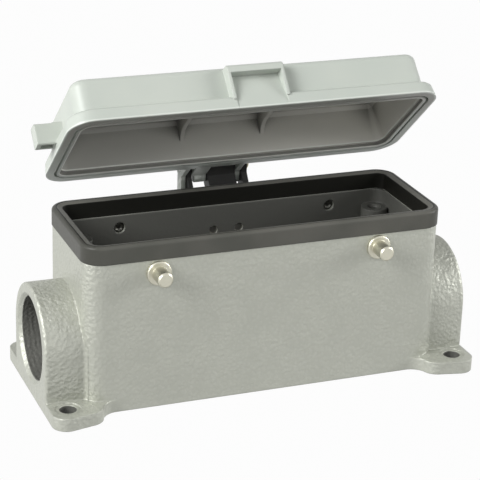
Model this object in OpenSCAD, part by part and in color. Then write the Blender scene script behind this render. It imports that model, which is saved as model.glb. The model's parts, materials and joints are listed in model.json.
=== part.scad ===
// Surface-mount rectangular connector housing, two cable entries, hinged protective cover.
// Units mm, +Z up. Origin: middle of the mounting face. -Y is the front, +Y the hinge side.

/* [View] */

/* [Housing body] */
// Length of the rim opening
open_l = 112; // [100:1:130]
// Width of the rim opening
open_w = 35; // [30:1:45]
// Wall thickness all round
wall_t = 3.8; // [3:0.1:5]
// Height of the casting up to the gasket seat
body_h = 49.7; // [44:0.1:70]
// Outside radius of the upright corners
corner_r = 6.3; // [4.5:0.1:8]
// Thickness of the closed floor
floor_t = 3.6; // [3:0.1:4.2]

/* [Rim gasket] */
// Height of the gasket band
seal_h = 5.8; // [4:0.1:8]
// How far the gasket stands out past the wall
seal_out = 0.25; // [0.1:0.05:0.8]
// Width of the gasket seen from above
seal_w = 3.5; // [3:0.1:4]

/* [Cable entries] */
// Core diameter of the tapped entry
entry_d = 26.8; // [18:0.1:28]
// Height of the entry axis over the mounting face
entry_z = 18.7; // [18:0.1:22]
// Radius of the round top of the boss
boss_r = 17.8; // [16:0.1:18]
// Distance from the middle of the housing to the boss face
boss_x = 71.8; // [69:0.1:78]

/* [Mounting lugs] */
// Hole spacing along the length
hole_x = 132; // [126:0.5:150]
// Hole spacing across the width
hole_y = 45; // [42:0.5:60]
// Hole diameter
hole_d = 5.5; // [4.5:0.1:6.5]
// Thickness of the lugs
foot_t = 4.2; // [3:0.1:6]
// Radius of the outer corner of each lug
lug_r = 4.8; // [3:0.1:5.2]
// Distance from the hole to the long edge of the lug
lug_edge = 7.1; // [6:0.1:8]

/* [Insert posts] */
// Screw spacing along the length
post_x = 104; // [92:0.5:122]
// Screw spacing across the width
post_y = 27; // [22:0.5:37]
// Diameter of each post
post_d = 9; // [7:0.1:10]
// Depth of the post tops below the gasket seat
post_drop = 4.8; // [3:0.1:10]
// Core diameter of the tapped screw holes
tap_d = 3.3; // [2.5:0.1:4.2]

/* [Locking pegs] */
// Spacing of the pegs along a wall
peg_x = 73.8; // [60:0.1:90]
// Depth of the peg axis below the gasket seat
peg_drop = 4.3; // [4.1:0.1:8]
// Diameter of the peg pin
peg_d = 4.9; // [3.5:0.1:6]
// Reach of the peg past the wall
peg_out = 7; // [4:0.1:10]
// Diameter of the peg shank where it passes the wall
shank_d = 3.6; // [2.5:0.1:4.4]
// Diameter of the peg collar
collar_d = 7.9; // [6.5:0.1:8]

/* [Cover] */
// Length over the cover flange
cover_l = 122.8; // [121:0.1:140]
// Width over the cover flange
cover_w = 46.4; // [44:0.1:48]
// Height of the cover over its rim plane
cover_h = 16.1; // [14:0.1:24]
// Height of the cover flange
flange_h = 4.3; // [3:0.1:6]
// Angle the cover stands open
open_deg = 42; // [0:1:110]

/* [Hinge] */
// Length of the hinge bracket
hinge_w = 21.1; // [20:0.1:26]
// Spacing of the two hinge rivets
rivet_x = 9; // [7:0.1:12]
// Distance of the hinge axis behind the cover flange
axis_out = 6.9; // [6:0.1:10]
// Height of the hinge axis over the cover rim plane
axis_up = 3.4; // [3:0.1:5]
// Diameter of the hinge pin
pin_d = 2.8; // [2:0.1:3.2]
// Outside radius of the hinge knuckles
knuckle_r = 3; // [2.6:0.1:3.2]

/* [Hidden] */
$fn = 96;
// gap between the closed cover and the gasket
rest_gap = 0.3;
// radial clearance of the turning hinge, and of the riveted shanks
run_fit = 0.06;
// gap between neighbouring hinge knuckles
side_fit = 0.2;
// how far a cut runs past the face that it opens
cut = 1;
// small overlap that keeps tangent outlines from splitting
bite = 0.15;
body_l = open_l + 2 * wall_t;
body_w = open_w + 2 * wall_t;
rim_z = body_h + seal_h;
seal_l = body_l + 2 * seal_out;
seal_b = body_w + 2 * seal_out;
seal_r = corner_r + seal_out;
post_z = body_h - post_drop;
peg_z = body_h - peg_drop;
// rounding of the inner corners past the wall's own offset
in_round = 1.5;
room_r = corner_r - wall_t + in_round;
// groove for the gasket tongue
groove_w = 1.6;
groove_t = 2;
tongue_fit = 0.05;
// entry boss: edge rounding, fillet at the wall, mouth chamfer, relief past the posts
boss_e = 0.9;
boss_f = 1.3;
mouth_c = 1.2;
relief = 0.8;
// lug: shoulder beside the hole, hollow sweep back to the wall, spot face
shoulder_x = 6;
shoulder_y = 0.4;
shoulder_r = 5.2;
sweep_r = 6;
spot_w = 1.3;
spot_t = 0.3;
// tapped holes for the insert screws
tap_deep = 12;
tap_sink = 0.7;
// cover, drawn shut
cz = rim_z + rest_gap;
cover_r = 8;
cover_top = 2;
// dome: set back from the flange edge, lean of its walls, rounding of its top edge
dome_in = 3.3;
dome_lean = 0.2;
dome_round = 2.4;
rim_w = 5.2;
step_w = 0.8;
step_t = 1.4;
// fine groove in the rim face: distance from the hollow, width
rim_cut_x = 1.8;
rim_cut_w = 0.8;
ceil_z = cz + cover_h - cover_top;
// ribs across the inside of the cover
rib_x = 28;
rib_t = 1.4;
rib_h = 3.9;
rib_r = 7.8;
rib_in = 5.8;
rib_side = 0.8;
rib_low = 3.2;
// side lug of the cover: reach, width, height, height of its underside, wall, end wall
tab_reach = 5.7;
tab_w = 4.6;
tab_h = 7;
tab_up = 2.75;
tab_skin = 0.9;
tab_end = 1.4;
axis_y = cover_w / 2 + axis_out;
axis_z = cz + axis_up;
// bracket
brk_t = 2;
rivet_drop = 8.7;
rivet_z = body_h - rivet_drop;
rivet_d = 2.8;
plate_drop = 4.6;
web_h = 2.6;
seat_gap = 0.5;
ear_l = 1.45;
ear_r = 2;
block_x = -3.4;
block_w = 9.7;
arm_w = 1.5;
// how far riveted ends stay back from the inner face
shank_in = 0.9;
rivet_in = 0.5;

// ---- helpers ----

// rounded rectangle, true arcs
module rrect(l, w, r) {
    square([l - 2 * r, w], center = true);
    square([l, w - 2 * r], center = true);
    for (sx = [-1, 1], sy = [-1, 1])
        translate([sx * (l / 2 - r), sy * (w / 2 - r)])
            circle(r);
}

// rounded upright box standing on z0
module rbox(l, w, r, z0, z1) {
    translate([0, 0, z0])
        linear_extrude(z1 - z0)
            rrect(l, w, r);
}

// carries a profile round a rounded rectangle: profile x runs outward from the corner axis
module frame_sweep(l, w, r) {
    for (k = [0:3])
        translate([(k == 0 || k == 3 ? 1 : -1) * (l / 2 - r), (k < 2 ? 1 : -1) * (w / 2 - r), 0])
            rotate([0, 0, 90 * k])
                rotate_extrude(angle = 90)
                    children();
    for (a = [0, 180])
        rotate([0, 0, a]) {
            translate([-(l / 2 - r), w / 2 - r, 0])
                rotate([90, 0, 90])
                    linear_extrude(l - 2 * r)
                        children();
            translate([l / 2 - r, w / 2 - r, 0])
                rotate([90, 0, 0])
                    linear_extrude(w - 2 * r)
                        children();
        }
}

// filled version of the same
module frame_fill(l, w, r, z0, z1) {
    frame_sweep(l, w, r)
        children();
    translate([-(l / 2 - r), -(w / 2 - r), z0])
        cube([l - 2 * r, w - 2 * r, z1 - z0]);
}

// profile in (y, z) drawn over x0..x1
module along_x(x0, x1) {
    translate([x0, 0, 0])
        rotate([90, 0, 90])
            linear_extrude(x1 - x0)
                children();
}

// ---- housing ----

// D-shaped boss, drawn on the +X end: rounded face edge, fillet tangent to the body's corner
module entry_profile() {
    x0 = body_l / 2 - corner_r;
    dy = boss_r + boss_f - body_w / 2 + corner_r;
    xf = x0 + sqrt(pow(corner_r + boss_f - bite / 3, 2) - dy * dy) - boss_f;
    difference() {
        union() {
            translate([0, x0])
                square([boss_r, boss_x - x0]);
            translate([boss_r - cut, x0])
                square([boss_f + cut, xf + boss_f - x0]);
        }
        translate([boss_r + boss_f, xf + boss_f])
            circle(boss_f);
        translate([boss_r - boss_e, boss_x - boss_e])
            difference() {
                square(boss_e + cut);
                circle(boss_e);
            }
    }
}

module entry_boss() {
    translate([0, 0, entry_z])
        rotate([0, 90, 0])
            rotate([0, 0, 90])
                rotate_extrude(angle = 180)
                    entry_profile();
    for (m = [0, 1])
        mirror([0, m, 0])
            translate([0, 0, entry_z])
                rotate([180, 0, 90])
                    linear_extrude(entry_z)
                        entry_profile();
}

// one quarter of the foot outline: corner, shoulder, hollow sweep back to the wall
module foot_quarter() {
    wy = body_w / 2;
    c1 = [boss_x - lug_r, hole_y / 2 + lug_edge - lug_r];
    c2 = [hole_x / 2 - shoulder_x, hole_y / 2 + shoulder_y];
    // normal of the edge that joins corner and shoulder
    a = atan2(c1[1] - c2[1], c1[0] - c2[0]) + acos((shoulder_r - lug_r) / norm(c1 - c2));
    n = [cos(a), sin(a)];
    dy = wy + sweep_r - c2[1];
    fx = c2[0] - sqrt(pow(shoulder_r + sweep_r - bite, 2) - dy * dy);
    translate(c1)
        circle(lug_r);
    translate(c2)
        circle(shoulder_r);
    translate([fx, 0])
        square([boss_x - fx, wy - cut]);
    translate([c1[0], 0])
        square([lug_r, c1[1]]);
    polygon([[c2[0], 0], [c1[0] + cut, 0], [c1[0] + cut, c1[1]],
        c1 + (lug_r - bite / 3) * n, c2 + (shoulder_r - bite / 3) * n, c2]);
    difference() {
        polygon([[fx, wy - cut], [c2[0], wy - cut], c2, [fx, wy + sweep_r]]);
        translate([fx, wy + sweep_r])
            circle(sweep_r);
    }
}

module foot_plate() {
    difference() {
        linear_extrude(foot_t)
            for (mx = [0, 1], my = [0, 1])
                mirror([mx, 0])
                    mirror([0, my])
                        foot_quarter();
        for (sx = [-1, 1], sy = [-1, 1])
            translate([sx * hole_x / 2, sy * hole_y / 2, 0]) {
                translate([0, 0, -cut])
                    cylinder(d = hole_d, h = foot_t + 2 * cut);
                translate([0, 0, foot_t - spot_t])
                    cylinder(r = hole_d / 2 + spot_w, h = spot_t + cut);
            }
    }
}

module insert_post(sx, sy) {
    translate([sx * post_x / 2, sy * post_y / 2, floor_t - cut])
        cylinder(d = post_d, h = post_z - floor_t + cut);
}

// through hole in a long wall; side = -1 front, 1 rear
module wall_hole(x, z, side, d) {
    translate([x, side * body_w / 2, z])
        rotate([-90 * side, 0, 0])
            translate([0, 0, -wall_t - cut])
                cylinder(r = d / 2 + run_fit, h = wall_t + 2 * cut);
}

module housing() {
    color([0.62, 0.63, 0.60])
    difference() {
        union() {
            rbox(body_l, body_w, corner_r, 0, body_h);
            foot_plate();
            for (m = [0, 1])
                mirror([m, 0, 0])
                    entry_boss();
        }
        difference() {
            rbox(open_l, open_w, room_r, floor_t, body_h + cut);
            for (sx = [-1, 1], sy = [-1, 1])
                insert_post(sx, sy);
        }
        // tapped entries
        for (m = [0, 1])
            mirror([m, 0, 0])
                translate([open_l / 2 - cut, 0, entry_z])
                    rotate([0, 90, 0])
                        cylinder(d = entry_d, h = boss_x - open_l / 2 + 2 * cut);
        // relief that clears the posts and the run-out of the thread
        for (m = [0, 1])
            mirror([m, 0, 0])
                translate([post_x / 2 - post_d, 0, entry_z])
                    rotate([0, 90, 0])
                        cylinder(r = entry_d / 2 + relief,
                            h = open_l / 2 - post_x / 2 + post_d + relief);
        for (m = [0, 1])
            mirror([m, 0, 0])
                translate([boss_x - mouth_c, 0, entry_z])
                    rotate([0, 90, 0])
                        cylinder(r1 = entry_d / 2, r2 = entry_d / 2 + mouth_c + cut,
                            h = mouth_c + cut);
        // tapped holes for the insert screws
        for (sx = [-1, 1], sy = [-1, 1])
            translate([sx * post_x / 2, sy * post_y / 2, post_z]) {
                translate([0, 0, -tap_deep])
                    cylinder(d = tap_d, h = tap_deep + cut);
                translate([0, 0, -tap_sink])
                    cylinder(r1 = tap_d / 2, r2 = tap_d / 2 + tap_sink + cut,
                        h = tap_sink + cut);
            }
        for (sx = [-1, 1], side = [-1, 1])
            wall_hole(sx * peg_x / 2, peg_z, side, shank_d);
        for (sx = [-1, 1])
            wall_hole(sx * rivet_x / 2, rivet_z, 1, rivet_d);
        // groove that takes the gasket tongue
        frame_sweep(body_l, body_w, corner_r)
            translate([corner_r - wall_t / 2 - groove_w / 2, body_h - groove_t])
                square([groove_w, groove_t + cut]);
    }
}

// ---- gasket ----

module gasket_profile() {
    w = seal_w;
    r = 1.1;
    x1 = seal_r;
    difference() {
        union() {
            translate([x1 - w, body_h])
                square([w, seal_h]);
            // tongue in the casting
            translate([x1 - seal_out - wall_t / 2 - groove_w / 2 + tongue_fit,
                body_h - groove_t + 0.2])
                square([groove_w - 2 * tongue_fit, groove_t]);
        }
        // rounded outer edge
        translate([x1 - r, rim_z - r])
            difference() {
                square(r + 1);
                circle(r);
            }
        // sloped inner half of the top
        polygon([[x1 - w - 1, rim_z - 0.8], [x1 - w, rim_z - 0.55], [x1 - 1.5, rim_z],
            [x1 - 1.5, rim_z + 1], [x1 - w - 1, rim_z + 1]]);
    }
}

module rim_gasket() {
    color([0.13, 0.13, 0.12])
    frame_sweep(seal_l, seal_b, seal_r)
        gasket_profile();
}

// ---- locking pegs ----

// turned peg on its own axis, wall face at z = 0, shank set back from the inner face
module peg_profile() {
    r = peg_d / 2;
    rs = shank_d / 2;
    z0 = shank_in - wall_t;
    c = 0.5;
    polygon([
        [0, z0 + 0.4], [rs * 0.4, z0 + 0.4], [rs * 0.7, z0], [rs - 0.2, z0], [rs, z0 + 0.2],
        [rs, 0], [collar_d / 2, 0], [collar_d / 2, 0.9], [collar_d / 2 - 0.3, 1.2], [r, 1.2],
        [r, peg_out - c], [r - c, peg_out], [0, peg_out]
    ]);
}

module locking_peg(sx, side) {
    color([0.80, 0.80, 0.78])
    translate([sx * peg_x / 2, side * body_w / 2, peg_z])
        rotate([-90 * side, 0, 0])
            rotate_extrude()
                peg_profile();
}

module locking_peg_front_left() { locking_peg(-1, -1); }
module locking_peg_front_right() { locking_peg(1, -1); }
module locking_peg_rear_left() { locking_peg(-1, 1); }
module locking_peg_rear_right() { locking_peg(1, 1); }

// ---- hinge ----

// knuckle lengths along the axis, bracket and cover in turn
brk_knuckles = [[-hinge_w / 2, -hinge_w / 2 + ear_l], [block_x, block_x + block_w],
    [hinge_w / 2 - ear_r, hinge_w / 2]];
cov_knuckles = [[brk_knuckles[0][1] + side_fit, block_x - side_fit],
    [block_x + block_w + side_fit, brk_knuckles[2][0] - side_fit]];
arm_x = [-hinge_w / 2 - side_fit - arm_w, -hinge_w / 2 - side_fit];

module bracket_profile() {
    y0 = body_w / 2;
    yc = seal_b / 2 + 0.8;
    difference() {
        union() {
            polygon([[y0, rivet_z + web_h], [y0 + brk_t, rivet_z + web_h],
                [axis_y + knuckle_r, axis_z - web_h],
                [axis_y + knuckle_r, axis_z], [axis_y - knuckle_r, axis_z],
                [axis_y - knuckle_r, axis_z - web_h],
                [yc, body_h + seat_gap], [yc, body_h - seat_gap], [y0, body_h - seat_gap]]);
            translate([axis_y, axis_z])
                circle(knuckle_r);
        }
        translate([axis_y, axis_z])
            circle(pin_d / 2 + run_fit);
    }
}

module hinge_bracket() {
    y0 = body_w / 2;
    x0 = brk_knuckles[0][0];
    x1 = brk_knuckles[2][1];
    color([0.12, 0.12, 0.12])
    difference() {
        union() {
            for (k = brk_knuckles)
                along_x(k[0], k[1])
                    bracket_profile();
            translate([x0, y0, rivet_z - plate_drop])
                cube([x1 - x0, brk_t, body_h - seat_gap - rivet_z + plate_drop]);
        }
        for (sx = [-1, 1])
            translate([sx * rivet_x / 2, y0 - cut, rivet_z])
                rotate([-90, 0, 0])
                    cylinder(r = rivet_d / 2 + run_fit, h = brk_t + 2 * cut);
    }
}

module rivet_profile() {
    r = rivet_d / 2;
    polygon([
        [0, rivet_in - wall_t], [r - 0.2, rivet_in - wall_t], [r, rivet_in - wall_t + 0.2], [r, brk_t],
        [r + 1.4, brk_t], [r + 1.4, brk_t + 0.5], [r + 0.9, brk_t + 1], [r, brk_t + 1.3],
        [0, brk_t + 1.4]
    ]);
}

module hinge_rivet(sx) {
    color([0.45, 0.45, 0.44])
    translate([sx * rivet_x / 2, body_w / 2, rivet_z])
        rotate([-90, 0, 0])
            rotate_extrude()
                rivet_profile();
}

module hinge_rivet_left() { hinge_rivet(-1); }
module hinge_rivet_right() { hinge_rivet(1); }

module hinge_pin() {
    r = pin_d / 2;
    x0 = arm_x[0];
    x1 = brk_knuckles[2][1];
    color([0.72, 0.68, 0.55])
    translate([x0, axis_y, axis_z])
        rotate([0, 90, 0])
            rotate_extrude()
                polygon([
                    [0, 0], [r - 0.3, 0], [r, 0.3],
                    [r, x1 - x0], [r + 1, x1 - x0], [r + 1, x1 - x0 + 0.6],
                    [r + 0.6, x1 - x0 + 1], [0, x1 - x0 + 1]
                ]);
}

// ---- cover, drawn shut and then swung open ----

// outer profile: x from the corner axis, y = height
module cover_outer() {
    e = dome_round;
    // wall leans in above the flange and runs tangent into the rounded top edge
    b = [cover_r - dome_in, cz + flange_h];
    c = [cover_r - dome_in - dome_lean - e, cz + cover_h - e];
    d = norm(c - b);
    a = atan2(c[1] - b[1], c[0] - b[0]) - asin(e / d);
    t = b + sqrt(d * d - e * e) * [cos(a), sin(a)];
    s = b + (t - b) * (cz + cover_h - b[1]) / (t[1] - b[1]);
    difference() {
        polygon([[0, cz], [cover_r, cz], [cover_r, cz + 0.8], [cover_r - 0.5, cz + flange_h - 0.5],
            [cover_r - 1, cz + flange_h], b, s, [0, cz + cover_h]]);
        translate(c)
            difference() {
                polygon([[0, 0], (t - c) * 1.6, (s - c) * 1.6, [0, e + 1]]);
                circle(e);
            }
    }
}

// hollow profile, stepped out at the rim
module cover_inner() {
    x_rim = cover_r - rim_w;
    x_ceil = x_rim - 1.4;
    polygon([[0, cz - cut], [x_rim + step_w, cz - cut], [x_rim + step_w, cz + step_t],
        [x_rim, cz + step_t], [x_ceil, ceil_z - 1.2], [x_ceil - 1.2, ceil_z], [0, ceil_z]]);
}

// fine groove in the rim face
module rim_groove() {
    translate([cover_r - rim_w + rim_cut_x, cz - cut])
        square([rim_cut_w, 2 * cut]);
}

module cover_nose() {
    yf = -cover_w / 2;
    nw = 9.3;
    nh = 14.9;
    along_x(-nw, nw)
        polygon([[yf + 10, cz + flange_h - 1], [yf, cz + flange_h - 1], [yf, cz + nh - 0.8],
            [yf + 0.8, cz + nh], [yf + 10, cz + nh]]);
}

module cover_nose_cut() {
    yf = -cover_w / 2;
    iw = 8.35;
    along_x(-iw, iw)
        polygon([[yf - 1, cz + 0.2], [yf, cz + 0.2], [yf + 3.4, cz + 12.2], [yf - 1, cz + 12.2]]);
}

module cover_lug() {
    x0 = -cover_l / 2;
    z0 = cz + tab_up;
    r = 0.6;
    difference() {
        translate([x0 - tab_reach, -tab_w / 2, z0])
            cube([tab_reach + cover_r - dome_in + 0.5, tab_w, tab_h]);
        for (sy = [-1, 1], sz = [0, 1])
            translate([x0 - tab_reach - cut, sy * (tab_w / 2 - r), z0 + (sz ? tab_h - r : r)])
                rotate([0, 90, 0])
                    rotate([0, 0, sy > 0 ? (sz ? 90 : 0) : (sz ? 180 : 270)])
                        linear_extrude(tab_reach + cut)
                            difference() {
                                square(r + 1);
                                circle(r);
                            }
        // slot open to the underside
        translate([x0 - tab_reach + tab_end, -tab_w / 2 + tab_skin, z0 - cut])
            cube([tab_reach - tab_end - 0.3, tab_w - 2 * tab_skin, tab_h - tab_skin + cut]);
    }
}

// rib across the ceiling, swept down at both long walls
module cover_rib(x) {
    yw = cover_w / 2 - rim_w - rib_side;
    yc = yw - rib_in;
    z1 = ceil_z - rib_h;
    z0 = z1 - rib_low;
    along_x(x - rib_t / 2, x + rib_t / 2)
        difference() {
            translate([-yw - 0.4, z0])
                square([2 * yw + 0.8, rib_h + rib_low + cut]);
            translate([-yc, z0 - cut])
                square([2 * yc, rib_low + cut]);
            for (sy = [-1, 1])
                translate([sy * yc, z1 - rib_r])
                    circle(rib_r);
        }
}

module knuckle_arm(x0, x1) {
    y1 = cover_w / 2 - 1.5;
    along_x(x0, x1)
        difference() {
            union() {
                polygon([[y1, cz + 0.3], [axis_y, axis_z - knuckle_r], [axis_y, axis_z + knuckle_r],
                    [y1, cz + flange_h - 0.6]]);
                translate([axis_y, axis_z])
                    circle(knuckle_r);
            }
            translate([axis_y, axis_z])
                circle(pin_d / 2 + run_fit);
        }
}

// stop finger: hangs straight down while the cover stands at open_deg
module stop_finger(x0, x1, reach) {
    translate([0, axis_y, axis_z])
        rotate([open_deg, 0, 0])
            along_x(x0, x1)
                translate([-1.9, -reach])
                    square([3.8, reach - pin_d / 2 - 0.5]);
}

module cover_shut() {
    difference() {
        union() {
            frame_fill(cover_l, cover_w, cover_r, cz, cz + cover_h)
                cover_outer();
            cover_nose();
        }
        difference() {
            frame_fill(cover_l, cover_w, cover_r, cz - cut, ceil_z)
                cover_inner();
            for (sx = [-1, 1])
                cover_rib(sx * rib_x / 2);
        }
        frame_sweep(cover_l, cover_w, cover_r)
            rim_groove();
        cover_nose_cut();
    }
    cover_lug();
    for (k = concat([arm_x], cov_knuckles))
        knuckle_arm(k[0], k[1]);
    stop_finger(arm_x[0], arm_x[1], 8.4);
    stop_finger(cov_knuckles[0][0] + 1, cov_knuckles[0][1], 4.8);
    stop_finger(cov_knuckles[1][0], cov_knuckles[1][1], 6);
}

module hinged_cover() {
    color([0.76, 0.78, 0.75])
    translate([0, axis_y, axis_z])
        rotate([-open_deg, 0, 0])
            translate([0, -axis_y, -axis_z])
                cover_shut();
}

housing();
rim_gasket();
locking_peg_front_left();
locking_peg_front_right();
locking_peg_rear_left();
locking_peg_rear_right();
hinge_bracket();
hinge_rivet_left();
hinge_rivet_right();
hinge_pin();
hinged_cover();
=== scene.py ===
import bpy
import json
import math
from mathutils import Matrix, Vector


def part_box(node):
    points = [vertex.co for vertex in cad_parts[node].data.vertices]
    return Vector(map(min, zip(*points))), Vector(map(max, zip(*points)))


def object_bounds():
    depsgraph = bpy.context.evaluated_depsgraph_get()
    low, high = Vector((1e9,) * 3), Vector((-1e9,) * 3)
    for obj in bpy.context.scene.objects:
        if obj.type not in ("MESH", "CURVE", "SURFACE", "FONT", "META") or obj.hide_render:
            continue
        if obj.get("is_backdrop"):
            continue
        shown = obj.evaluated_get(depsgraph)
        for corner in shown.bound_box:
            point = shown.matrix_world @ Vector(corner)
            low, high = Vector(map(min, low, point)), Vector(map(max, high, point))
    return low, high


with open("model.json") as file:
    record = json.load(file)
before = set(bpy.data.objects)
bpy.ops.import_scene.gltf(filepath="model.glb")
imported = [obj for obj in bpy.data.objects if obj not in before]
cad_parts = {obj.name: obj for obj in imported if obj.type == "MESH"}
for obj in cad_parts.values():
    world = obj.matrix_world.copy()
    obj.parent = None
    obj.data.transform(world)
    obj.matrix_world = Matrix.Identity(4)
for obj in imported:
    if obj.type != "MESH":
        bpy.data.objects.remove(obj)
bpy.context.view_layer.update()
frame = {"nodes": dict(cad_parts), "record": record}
nodes = frame["nodes"]
joint = frame["record"]["behaviour"]["joints"][0]
MM = 0.001

# sizes of the part that its finishes follow, in mm
ROOM_X, ROOM_Y, FLOOR_Z = 56.0, 17.5, 3.6             # half the opening, and the floor inside
ENTRY_Z, ENTRY_R, RELIEF_R = 18.7, 13.4, 14.2         # cable entries
MOUTH_X, THREAD_PITCH = 70.6, 1.588                   # start of the countersink; 16 turns an inch
HOLE_X, HOLE_Y, HOLE_R, FOOT_Z = 66.0, 22.5, 2.75, 4.2
WALL_MID = 19.6                                       # within the long walls, from the middle
RIM_Z, SHUT_GAP = 55.5, 0.3                           # top of the gasket, and the shut cover's gap
GASKET_EDGE = (60.05, 21.55, 6.55)                    # half length, half width, corner
COVER_EDGE = (61.4, 23.2, 8.0)
HOLLOW_TOP = 14.4                                     # above the shut cover's rim

# ---------------------------------------------------------------- camera
AZ, EL, ROLL = map(math.radians, (22.02, 21.63, 1.966))
LENS = 1797.9 * 36 / 480          # focal length in pixels, for a 36 mm sensor 480 pixels wide
AIM = Vector((-2.77, -1.92, 44.74)) * MM
DISTANCE = 575.68 * MM


def camera():
    back = Vector((-math.sin(AZ) * math.cos(EL), -math.cos(AZ) * math.cos(EL), math.sin(EL)))
    right = Vector((math.cos(AZ), -math.sin(AZ), 0))
    up = back.cross(right)
    rolled_right = math.cos(ROLL) * right + math.sin(ROLL) * up
    rolled_up = -math.sin(ROLL) * right + math.cos(ROLL) * up
    turn = Matrix((rolled_right, rolled_up, back)).transposed().to_4x4()
    data = bpy.data.cameras.new("camera")
    data.sensor_width = 36
    data.lens = LENS
    data.clip_start = 0.01
    ob = bpy.data.objects.new("camera", data)
    bpy.context.scene.collection.objects.link(ob)
    ob.matrix_world = Matrix.Translation(AIM + back * DISTANCE) @ turn
    bpy.context.scene.camera = ob


camera()


# ---------------------------------------------------------------- materials
class Mat:
    """Small node-graph helper: a call adds nodes and returns the last one's output."""

    def __init__(self, name):
        self.m = bpy.data.materials.new(name)
        self.m.use_nodes = True
        self.t = self.m.node_tree
        self.t.nodes.clear()
        self.out = self.t.nodes.new("ShaderNodeOutputMaterial")
        self.bsdf = self.t.nodes.new("ShaderNodeBsdfPrincipled")
        self.t.links.new(self.bsdf.outputs[0], self.out.inputs["Surface"])
        self.co = self.t.nodes.new("ShaderNodeTexCoord").outputs["Object"]

    def put(self, sock, value):
        """Links an output to a socket, or sets the socket's own value."""
        if hasattr(value, "is_output"):
            self.t.links.new(value, sock)
        else:
            sock.default_value = value

    def set(self, **inputs):
        """Puts values or outputs on the shader; _ stands for a space."""
        for key, value in inputs.items():
            self.put(self.bsdf.inputs[key.replace("_", " ")], value)

    # textures
    def noise(self, scale, detail=2.0, rough=0.5):
        n = self.t.nodes.new("ShaderNodeTexNoise")
        self.put(n.inputs["Vector"], self.co)
        n.inputs["Scale"].default_value = scale
        n.inputs["Detail"].default_value = detail
        n.inputs["Roughness"].default_value = rough
        return n.outputs["Fac"]

    def voronoi(self, scale, smooth):
        n = self.t.nodes.new("ShaderNodeTexVoronoi")
        n.feature = "SMOOTH_F1"
        self.put(n.inputs["Vector"], self.co)
        n.inputs["Scale"].default_value = scale
        n.inputs["Smoothness"].default_value = smooth
        return n.outputs["Distance"]

    def nooks(self, reach):
        """1 in the open, lower in inner corners"""
        n = self.t.nodes.new("ShaderNodeAmbientOcclusion")
        n.samples = 8
        n.inputs["Distance"].default_value = reach
        return n.outputs["AO"]

    # arithmetic
    def math(self, op, a, b=0.0):
        n = self.t.nodes.new("ShaderNodeMath")
        n.operation = op
        self.put(n.inputs[0], a)
        self.put(n.inputs[1], b)
        return n.outputs[0]

    def add(self, a, b):
        return self.math("ADD", a, b)

    def sub(self, a, b):
        return self.math("SUBTRACT", a, b)

    def mul(self, a, b):
        return self.math("MULTIPLY", a, b)

    def size(self, v):
        """without its sign"""
        return self.math("ABSOLUTE", v)

    def length(self, a, b):
        return self.math("SQRT", self.add(self.math("POWER", a, 2.0), self.math("POWER", b, 2.0)))

    def xyz(self):
        n = self.t.nodes.new("ShaderNodeSeparateXYZ")
        self.put(n.inputs[0], self.co)
        return n.outputs

    # masks
    def step(self, v, a, b):
        """0 on a's side, 1 on b's, smooth between"""
        n = self.t.nodes.new("ShaderNodeMapRange")
        n.interpolation_type = "SMOOTHSTEP"
        self.put(n.inputs["Value"], v)
        flip = a > b
        n.inputs["From Min"].default_value = min(a, b)
        n.inputs["From Max"].default_value = max(a, b)
        n.inputs["To Min"].default_value = 1.0 if flip else 0.0
        n.inputs["To Max"].default_value = 0.0 if flip else 1.0
        return n.outputs["Result"]

    def past(self, v, a, b):
        """a step between two places, which are in mm"""
        return self.step(v, a * MM, b * MM)

    def band(self, v, a, b, soft):
        """1 from a to b, fading over soft on both sides; all in mm"""
        return self.mul(self.past(v, a - soft, a), self.past(v, b + soft, b))

    def inset(self, x, y, edge):
        """distance inwards from a rounded rectangle in plan"""
        half_l, half_w, r = (v * MM for v in edge)
        qx = self.sub(self.size(x), half_l - r)
        qy = self.sub(self.size(y), half_w - r)
        far = self.length(self.math("MAXIMUM", qx, 0.0), self.math("MAXIMUM", qy, 0.0))
        near = self.math("MINIMUM", self.math("MAXIMUM", qx, qy), 0.0)
        return self.sub(r, self.add(far, near))

    # colour and relief
    def mix(self, fac, a, b):
        n = self.t.nodes.new("ShaderNodeMix")
        n.data_type = "RGBA"
        self.put(n.inputs[0], fac)
        for sock, colour in ((n.inputs[6], a), (n.inputs[7], b)):
            self.put(sock, colour if hasattr(colour, "is_output") else (*colour, 1.0))
        return n.outputs[2]

    def bump(self, height, depth, strength, normal):
        """relief of a depth in mm, over another normal"""
        n = self.t.nodes.new("ShaderNodeBump")
        n.inputs["Strength"].default_value = strength
        n.inputs["Distance"].default_value = depth * MM
        self.put(n.inputs["Height"], height)
        self.put(n.inputs["Normal"], normal)
        return n.outputs["Normal"]

    def round_edges(self, radius):
        """the normal, with edges that look rounded to a radius in mm"""
        n = self.t.nodes.new("ShaderNodeBevel")
        n.samples = 6
        n.inputs["Radius"].default_value = radius * MM
        return n.outputs["Normal"]


def dress(node, mat):
    mesh = nodes[node].data
    mesh.materials.clear()
    mesh.materials.append(mat.m)


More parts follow.
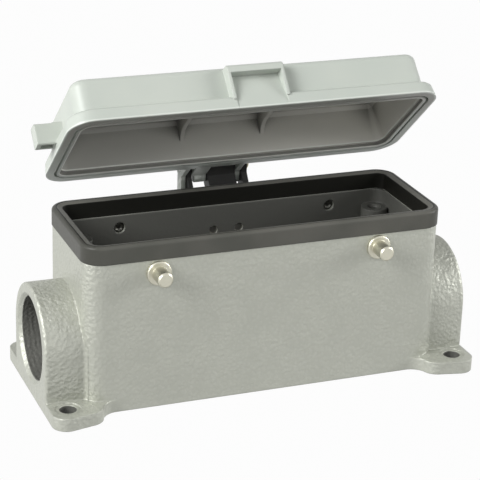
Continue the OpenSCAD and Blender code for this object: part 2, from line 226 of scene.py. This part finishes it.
def casting():
    """hammertone powder coat outside, dull and bare in the bores, dull inside the walls, and painted
    shade down the foot holes
    """
    coat_tones = (0.423, 0.433, 0.381), (0.439, 0.449, 0.395)
    crest_tone = (0.53, 0.54, 0.49)
    inside_tone, bore_tone = (0.092, 0.093, 0.083), (0.128, 0.129, 0.116)
    coat_depth, coat_strength, smoother_inside = 0.62, 0.7, 0.75
    thread_depth, thread_strength = 0.7, 0.16

    m = Mat("hammertone_coat")
    x, y, z = m.xyz()
    ax, ay = m.size(x), m.size(y)
    inside = m.mul(m.past(ay, ROOM_Y + 0.25, ROOM_Y + 0.1), m.past(ax, ROOM_X + 0.25, ROOM_X + 0.1))
    inside = m.mul(inside, m.past(z, FLOOR_Z - 0.2, FLOOR_Z - 0.1))
    from_axis = m.length(y, m.sub(z, ENTRY_Z * MM))
    in_bore = m.mul(m.past(from_axis, RELIEF_R + 0.5, RELIEF_R + 0.3), m.past(ax, ROOM_X - 0.1, ROOM_X))
    in_bore = m.mul(in_bore, m.past(ax, MOUTH_X + 0.1, MOUTH_X))
    from_hole = m.length(m.sub(ax, HOLE_X * MM), m.sub(ay, HOLE_Y * MM))
    # painted shade: the foot holes are made dark and dull all the way down, as if no light reached in
    in_hole = m.mul(m.past(from_hole, HOLE_R + 0.2, HOLE_R + 0.1), m.past(z, FOOT_Z - 0.35, FOOT_Z - 0.6))
    dull_and_hole_shade = m.math("MAXIMUM", m.math("MAXIMUM", inside, in_bore), in_hole)

    # hammered cells about 1.3 mm across over a fine grain, patchy from place to place
    warp = m.noise(420, 1.0, 0.5)
    cells = m.voronoi(880, 0.7)
    fine = m.noise(2600, 2.0, 0.6)
    patchy = m.step(m.noise(95, 2.0, 0.55), 0.35, 0.65)
    coat = m.add(m.mul(cells, 0.65), m.mul(fine, 0.35))
    coat = m.add(coat, m.mul(warp, 0.3))
    coat = m.mul(coat, m.add(0.55, m.mul(patchy, 0.45)))
    coat = m.mul(coat, m.sub(1.0, m.mul(inside, smoother_inside)))
    # smoother on the long walls than on the corners, bosses and lugs
    coat = m.mul(coat, m.add(0.55, m.mul(m.past(ax, 54, 58.5), 0.5)))

    tone = m.mix(patchy, *coat_tones)
    tone = m.mix(m.mul(m.step(cells, 0.55, 0.2), 0.18), tone, crest_tone)
    tone = m.mix(dull_and_hole_shade, tone, inside_tone)
    tone = m.mix(in_bore, tone, bore_tone)

    # faint thread turns in the entries
    angle = m.math("ARCTAN2", m.sub(z, ENTRY_Z * MM), y)
    turn = m.add(m.math("DIVIDE", x, THREAD_PITCH * MM), m.math("DIVIDE", angle, 2 * math.pi))
    on_thread = m.mul(in_bore, m.past(from_axis, ENTRY_R + 0.3, ENTRY_R + 0.1))
    ridge = m.mul(m.math("PINGPONG", turn, 0.5), on_thread)
    relief = m.bump(coat, coat_depth, coat_strength, m.round_edges(0.6))
    m.set(Base_Color=tone,
          Roughness=m.add(0.36, m.mul(fine, 0.2)),
          Metallic=m.mul(m.sub(1.0, dull_and_hole_shade), 0.45),
          Normal=m.bump(ridge, thread_depth, thread_strength, relief),
          Specular_IOR_Level=0.5)
    return m


def gasket():
    """rubber; from the outside in: smooth band, a painted shadow line on top where a groove would be, a
    paler lip that is a painted highlight, and a dark inner face that is painted shade
    """
    side_tones = (0.085, 0.086, 0.075), (0.112, 0.110, 0.097)
    end_shade_tone, lip_highlight_tone = (0.058, 0.058, 0.050), (0.115, 0.114, 0.100)
    groove_shade_tone, inner_shade_tone = (0.006, 0.006, 0.005), (0.011, 0.011, 0.009)

    m = Mat("gasket_rubber")
    grain = m.noise(900, 3.0, 0.6)
    x, y, z = m.xyz()
    inset = m.inset(x, y, GASKET_EDGE)
    top = m.past(z, RIM_Z - 0.9, RIM_Z - 0.6)
    skin = m.mix(m.step(m.noise(60, 2.0, 0.5), 0.3, 0.7), *side_tones)
    # painted shade: the two short ends are a little darker than the long sides
    skin = m.mix(m.past(m.size(x), 53, 59), skin, end_shade_tone)
    # painted highlight: a paler band on the top of the lip
    skin = m.mix(m.mul(top, m.band(inset, 1.75, 3.2, 0.15)), skin, lip_highlight_tone)
    # painted shadow: a near-black line on top, where a groove's shade falls
    skin = m.mix(m.mul(top, m.band(inset, 1.35, 1.6, 0.15)), skin, groove_shade_tone)
    # painted shade: the inner face is made nearly black
    m.set(Base_Color=m.mix(m.past(inset, 3.25, 3.4), skin, inner_shade_tone),
          Roughness=m.add(0.33, m.mul(grain, 0.14)),
          Normal=m.bump(m.add(grain, m.noise(240, 1.0)), 0.05, 0.5, m.round_edges(0.35)),
          Specular_IOR_Level=0.18)
    return m


def shut_cover(m):
    """x, and the y and height above the rim that a point of the cover has when it is shut"""
    x, y, z = m.xyz()
    _, hinge_y, hinge_z = joint["pos_m"]
    opened = math.radians(-joint["range_deg"][0])
    dy, dz = m.sub(y, hinge_y), m.sub(z, hinge_z)
    along = m.sub(m.mul(dy, math.cos(opened)), m.mul(dz, math.sin(opened)))
    up = m.add(m.mul(dy, math.sin(opened)), m.mul(dz, math.cos(opened)))
    return x, m.add(along, hinge_y), m.add(up, hinge_z - (RIM_Z + SHUT_GAP) * MM)


def cover():
    """smooth plastic, with painted shade in the hollow, in its corners and on the rim face, and painted
    highlights on its edges and lips
    """
    shell_tones = (0.476, 0.512, 0.466), (0.502, 0.534, 0.486)
    hollow_shade_tones = (0.43, 0.428, 0.394), (0.70, 0.69, 0.63)      # left end, right end
    nook_shade_tone, rim_shade_tone, riser_shade_tone = (0.07, 0.068, 0.06), (0.32, 0.32, 0.29), (0.20, 0.20, 0.18)
    edge_highlight_tone, lip_highlight_tone = (0.74, 0.77, 0.72), (0.80, 0.82, 0.76)

    m = Mat("cover_plastic")
    x, y, z = shut_cover(m)
    inset = m.inset(x, y, COVER_EDGE)
    below = m.past(z, 0.35, 0.15)
    hollow = m.mul(m.past(inset, 4.1, 4.3), m.past(z, HOLLOW_TOP + 0.2, HOLLOW_TOP))
    rim_face = m.mul(m.past(inset, 0.3, 0.9), below)
    riser = m.mul(m.band(inset, 4.25, 4.6, 0.1), m.band(z, 0.3, 1.2, 0.15))
    lip = m.mul(m.band(inset, 4.1, 4.5, 0.15), below)
    ledge_lip = m.mul(m.band(inset, 5.1, 5.5, 0.12), m.band(z, 1.25, 1.75, 0.15))
    edge = m.mul(m.band(z, -0.5, 0.45, 0.2), m.past(inset, 0.5, 0.3))

    # painted shade and light in the hollow: darker towards the left end, paler towards the right end
    inner = m.mix(m.past(x, -50, 50), *hollow_shade_tones)
    # painted shade: darker into the hollow's inner corners, from an occlusion node
    inner = m.mix(m.step(m.nooks(11 * MM), 0.2, 0.72), nook_shade_tone, inner)
    paint = m.mix(m.step(m.noise(45, 2.0, 0.5), 0.3, 0.7), *shell_tones)
    paint = m.mix(hollow, paint, inner)
    # painted shade: the rim face is darker, more so towards the front
    paint = m.mix(m.mul(rim_face, m.past(y, 10, -18)), paint, rim_shade_tone)
    # painted highlight: a paler line along the rim's outer edge
    paint = m.mix(m.mul(edge, 0.5), paint, edge_highlight_tone)
    # painted shade on the riser of the rim's inner step
    paint = m.mix(riser, paint, riser_shade_tone)
    # painted highlight: paler lips at the rim's inner edge and at its ledge
    paint = m.mix(m.math("MAXIMUM", m.mul(lip, 0.7), ledge_lip), paint, lip_highlight_tone)
    grain = m.noise(1800, 2.0, 0.5)
    m.set(Base_Color=paint,
          Roughness=m.add(0.33, m.mul(grain, 0.12)),
          Normal=m.bump(grain, 0.03, 0.35, m.round_edges(0.55)),
          Specular_IOR_Level=0.5)
    return m


def turned(name, node, base, rough, along_y=True, painted_end=None, inner_end=None):
    """turned metal, with lathe rings about the piece's own axis; the ends' places are in metres"""
    painted_tone, inner_shade_tone = (0.30, 0.32, 0.29), (0.10, 0.10, 0.09)
    ring_pitch, fade = 0.28 * MM, 0.1 * MM

    m = Mat(name)
    lo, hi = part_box(node)
    middle = [(a + b) / 2 for a, b in zip(lo, hi)]
    x, y, z = m.xyz()
    along = y if along_y else x
    across = m.sub(x, middle[0]) if along_y else m.sub(y, middle[1])
    from_axis = m.length(across, m.sub(z, middle[2]))
    rings = m.math("SINE", m.mul(m.add(from_axis, along), 2 * math.pi / ring_pitch))
    spots = m.noise(700, 3.0, 0.6)
    tone = m.mix(spots, base, tuple(v * 0.86 for v in base))
    if painted_end is not None:
        tone = m.mix(m.step(along, painted_end + fade, painted_end), tone, painted_tone)
    # painted shade: the part of a peg inside the wall is made dark
    if inner_end is not None:
        tone = m.mix(m.step(m.size(along), inner_end + fade, inner_end), tone, inner_shade_tone)
    m.set(Base_Color=tone,
          Roughness=m.add(rough, m.mul(spots, 0.12)),
          Normal=m.bump(rings, 0.012, 0.5, m.round_edges(0.2)),
          Metallic=1.0)
    return m


def bracket():
    """black coated sheet"""
    m = Mat("bracket_black")
    grain = m.noise(1500, 3.0, 0.6)
    m.set(Base_Color=m.mix(m.step(m.noise(90), 0.3, 0.7), (0.016, 0.016, 0.015), (0.028, 0.028, 0.026)),
          Roughness=m.add(0.38, m.mul(grain, 0.2)),
          Specular_IOR_Level=0.3,
          Normal=m.bump(grain, 0.04, 0.5, m.round_edges(0.3)))
    return m


NICKEL, RIVET, ZINC = (0.61, 0.595, 0.495), (0.42, 0.41, 0.38), (0.72, 0.68, 0.50)
dress("housing", casting())
dress("rim_gasket", gasket())
dress("hinged_cover", cover())
for n in ("locking_peg_front_left", "locking_peg_front_right",
          "locking_peg_rear_left", "locking_peg_rear_right"):
    dress(n, turned("nickel_" + n, n, NICKEL, 0.34, inner_end=WALL_MID * MM))
for n in ("hinge_rivet_left", "hinge_rivet_right"):
    dress(n, turned("rivet_" + n, n, RIVET, 0.34))
dress("hinge_pin", turned("zinc_pin", "hinge_pin", ZINC, 0.28, along_y=False,
                          painted_end=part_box("hinge_pin")[0][0] + 0.5 * MM))
dress("hinge_bracket", bracket())


# ---------------------------------------------------------------- floor and light
FLOOR_HALF, FLOOR_DROP = 4.0, 0.2 * MM
FLOOR_WHITE = 0.98                 # what the camera and gloss see
SKY, SKY_IN_GLOSS = 0.127, 0.80


def floor():
    s = FLOOR_HALF
    mesh = bpy.data.meshes.new("floor")
    mesh.from_pydata([(-s, -s, 0), (s, -s, 0), (s, s, 0), (-s, s, 0)], [], [(0, 1, 2, 3)])
    ob = bpy.data.objects.new("floor", mesh)
    bpy.context.scene.collection.objects.link(ob)
    ob.location.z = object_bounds()[0][2] - FLOOR_DROP
    m = Mat("floor_white")
    m.set(Base_Color=m.mix(m.noise(3.0), (0.34, 0.34, 0.34), (0.36, 0.36, 0.36)),
          Roughness=0.8, Specular_IOR_Level=0.0)
    # the camera and the gloss see plain white; the part gets only a soft bounce
    glow = m.t.nodes.new("ShaderNodeEmission")
    glow.inputs[0].default_value = (FLOOR_WHITE, FLOOR_WHITE, FLOOR_WHITE, 1)
    path = m.t.nodes.new("ShaderNodeLightPath")
    pick = m.t.nodes.new("ShaderNodeMixShader")
    seen = m.math("MAXIMUM", path.outputs["Is Camera Ray"], path.outputs["Is Glossy Ray"])
    m.t.links.new(seen, pick.inputs[0])
    m.t.links.new(m.bsdf.outputs[0], pick.inputs[1])
    m.t.links.new(glow.outputs[0], pick.inputs[2])
    m.t.links.new(pick.outputs[0], m.out.inputs["Surface"])
    mesh.materials.append(m.m)
    ob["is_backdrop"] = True


def area(name, place, size, power):
    """a rectangular lamp that faces the middle of the part"""
    data = bpy.data.lights.new(name, "AREA")
    data.shape = "RECTANGLE"
    data.size, data.size_y = size
    data.energy = power
    ob = bpy.data.objects.new(name, data)
    bpy.context.scene.collection.objects.link(ob)
    ob.location = place
    ob.rotation_euler = (Vector((0, 0, 0.04)) - Vector(place)).to_track_quat("-Z", "Y").to_euler()


def sky():
    """pale studio above, brighter in gloss than in its light"""
    world = bpy.data.worlds.new("studio")
    bpy.context.scene.world = world
    world.use_nodes = True
    tree = world.node_tree
    background = tree.nodes["Background"]
    background.inputs[0].default_value = (1, 1, 1, 1)
    path = tree.nodes.new("ShaderNodeLightPath")
    lift = tree.nodes.new("ShaderNodeMapRange")
    lift.inputs["To Min"].default_value = SKY
    lift.inputs["To Max"].default_value = SKY_IN_GLOSS
    tree.links.new(path.outputs["Is Glossy Ray"], lift.inputs["Value"])
    tree.links.new(lift.outputs["Result"], background.inputs[1])


floor()
area("key_left", (-1.1, -0.35, 0.75), (0.7, 0.7), 22.8)
area("low_left", (-1.2, 0.15, 0.25), (0.6, 0.4), 1.6)
area("front_fill", (0.25, -1.3, 0.55), (1.2, 0.8), 2.0)
area("right_fill", (1.2, -0.4, 0.45), (0.6, 0.6), 12.5)
sky()
bpy.context.scene.view_settings.view_transform = "Standard"
bpy.context.scene.view_settings.look = "None"
